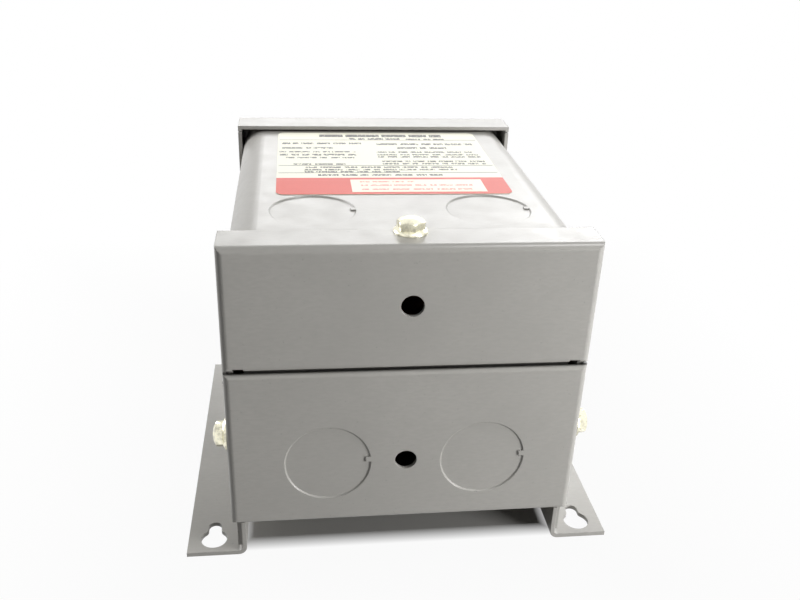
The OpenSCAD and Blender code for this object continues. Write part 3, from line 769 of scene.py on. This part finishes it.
def white_board(colour, outline):
    # White painted board, matt: it keeps the shadow under the case, and fades to pure white
    # away from it. From below it is clear, so that the underside can be seen.
    made, tree, place = new_finish("white_board")
    beyond = add(tree, "ShaderNodeVectorMath", {0: place}, operation="ABSOLUTE")
    beyond = add(tree, "ShaderNodeVectorMath", {0: beyond, 1: outline}, operation="SUBTRACT")
    beyond = add(tree, "ShaderNodeSeparateXYZ", {0: beyond})
    beyond = add(
        tree, "ShaderNodeMath", {0: beyond.outputs["X"], 1: beyond.outputs["Y"]},
        operation="MAXIMUM")
    # most of the fade is close to the case, and the rest of it ends 150 mm away
    close = add(tree, "ShaderNodeMapRange", {0: beyond, 1: -4, 2: 3, 4: 0.95})
    far = add(tree, "ShaderNodeMapRange", {0: beyond, 1: 10, 2: 150, 4: 0.05})
    # the board round the case sends little light back to it
    tone = add(
        tree, "ShaderNodeMix", {"Factor": close, "A": colour, "B": shade(colour, 0.35)},
        data_type="RGBA")
    board = add(tree, "ShaderNodeBsdfPrincipled", {"Base Color": tone, "Roughness": 0.9})
    white = add(tree, "ShaderNodeMath", {0: close, 1: far}, operation="ADD")
    white = add(tree, "ShaderNodeMath", {0: white, 1: seen_directly(tree)}, operation="MULTIPLY")
    glow = add(tree, "ShaderNodeEmission", {"Strength": 1.0})
    above = add(tree, "ShaderNodeMixShader", {0: white, 1: board, 2: glow})
    underside = add(tree, "ShaderNodeNewGeometry").outputs["Backfacing"]
    clear = add(tree, "ShaderNodeBsdfTransparent")
    both = add(tree, "ShaderNodeMixShader", {0: underside, 1: above, 2: clear})
    add(tree, "ShaderNodeOutputMaterial", {"Surface": both})
    return made


def lay_floor(scene, stage):
    """Lays the white board that the case stands on."""
    shape = bmesh.new()
    bmesh.ops.create_grid(
        shape, x_segments=1, y_segments=1, size=FLOOR_HALF_WIDTH,
        matrix=Matrix.Translation((0, 0, -FLOOR_DROP_MM * MM)))
    mesh = bpy.data.meshes.new("floor")
    shape.to_mesh(mesh)
    shape.free()
    floor = bpy.data.objects.new("floor", mesh)
    scene.collection.objects.link(floor)
    floor.data.materials.append(white_board(list(stage.floor), shaded_floor()))


def light_room(scene, stage):
    """Gives the room a dim even light, and shows it as white."""
    world = bpy.data.worlds.new("room")
    scene.world = world
    world.use_nodes = True
    tree = world.node_tree
    tree.nodes.clear()
    room = add(tree, "ShaderNodeBackground", {"Color": srgb("fffdfa"), "Strength": stage.room})
    white = add(tree, "ShaderNodeBackground", {"Color": srgb("ffffff"), "Strength": 1.0})
    both = add(tree, "ShaderNodeMixShader", {0: seen_directly(tree), 1: room, 2: white})
    add(tree, "ShaderNodeOutputWorld", {"Surface": both})


def hang_lamps(scene, stage):
    """Hangs the lamps round the case, hidden from the camera."""
    for name, place, size, power in LAMPS:
        light = bpy.data.lights.new(name, "AREA")
        light.shape = "RECTANGLE"
        light.size, light.size_y = size
        light.energy = getattr(stage, power)
        lamp = bpy.data.objects.new(name, light)
        scene.collection.objects.link(lamp)
        lamp.visible_camera = False
        facing = (Vector(AIM) - Vector(place)).to_track_quat("-Z", "Y")
        lamp.matrix_world = Matrix.Translation(place) @ facing.to_matrix().to_4x4()


def place_camera(scene, stage):
    """Puts the camera where the photograph was taken from."""
    lens = bpy.data.cameras.new("camera")
    lens.sensor_width = SENSOR_MM
    lens.lens = stage.focal / MM
    lens.clip_start = 0.01
    camera = bpy.data.objects.new("camera", lens)
    scene.collection.objects.link(camera)
    heading = Matrix.Rotation(math.radians(HEADING), 4, "Z")
    tilt = Matrix.Rotation(math.radians(TILT), 4, "X")
    roll = Matrix.Rotation(math.radians(ROLL), 4, "Z")
    station = Matrix.Translation(Vector(STATION_MM) * MM)
    camera.matrix_world = station @ heading @ tilt @ roll
    scene.camera = camera


class TRANSFORMER_OT_stage(bpy.types.Operator):
    """Sets the floor, the lamps, the room light and the camera"""
    bl_idname = "transformer.stage"
    bl_label = "Set the stage"

    def execute(self, context):
        stage = context.scene.transformer_stage
        context.scene.view_settings.view_transform = "Standard"
        lay_floor(context.scene, stage)
        light_room(context.scene, stage)
        hang_lamps(context.scene, stage)
        place_camera(context.scene, stage)
        return {"FINISHED"}


OPERATORS = [
    TRANSFORMER_OT_enamel, TRANSFORMER_OT_inside, TRANSFORMER_OT_screws, TRANSFORMER_OT_leads,
    TRANSFORMER_OT_label, TRANSFORMER_OT_stage]


class TRANSFORMER_PT_finishes(bpy.types.Panel):
    """Lists the steps that finish the transformer"""
    bl_label = "Transformer finishes"
    bl_idname = "TRANSFORMER_PT_finishes"
    bl_space_type = "VIEW_3D"
    bl_region_type = "UI"
    bl_category = "Transformer"

    def draw(self, context):
        for operator in OPERATORS:
            self.layout.operator(operator.bl_idname)


def register():
    for made in PROPERTY_GROUPS + OPERATORS + [TRANSFORMER_PT_finishes]:
        bpy.utils.register_class(made)
    bpy.types.Scene.transformer_enamel = PointerProperty(type=TransformerEnamel)
    bpy.types.Scene.transformer_label = PointerProperty(type=TransformerLabel)
    bpy.types.Scene.transformer_screws = PointerProperty(type=TransformerScrews)
    bpy.types.Scene.transformer_leads = PointerProperty(type=TransformerLeads)
    bpy.types.Scene.transformer_stage = PointerProperty(type=TransformerStage)


def unregister():
    for name in ("enamel", "label", "screws", "leads", "stage"):
        delattr(bpy.types.Scene, "transformer_" + name)
    for made in reversed(PROPERTY_GROUPS + OPERATORS + [TRANSFORMER_PT_finishes]):
        bpy.utils.unregister_class(made)


def main():
    """Builds the finished transformer on its stage."""
    register()
    bpy.ops.transformer.stage()
    bpy.ops.transformer.enamel()
    bpy.ops.transformer.inside()
    bpy.ops.transformer.screws()
    bpy.ops.transformer.leads()
    bpy.ops.transformer.label()


if __name__ == "__main__":
    main()
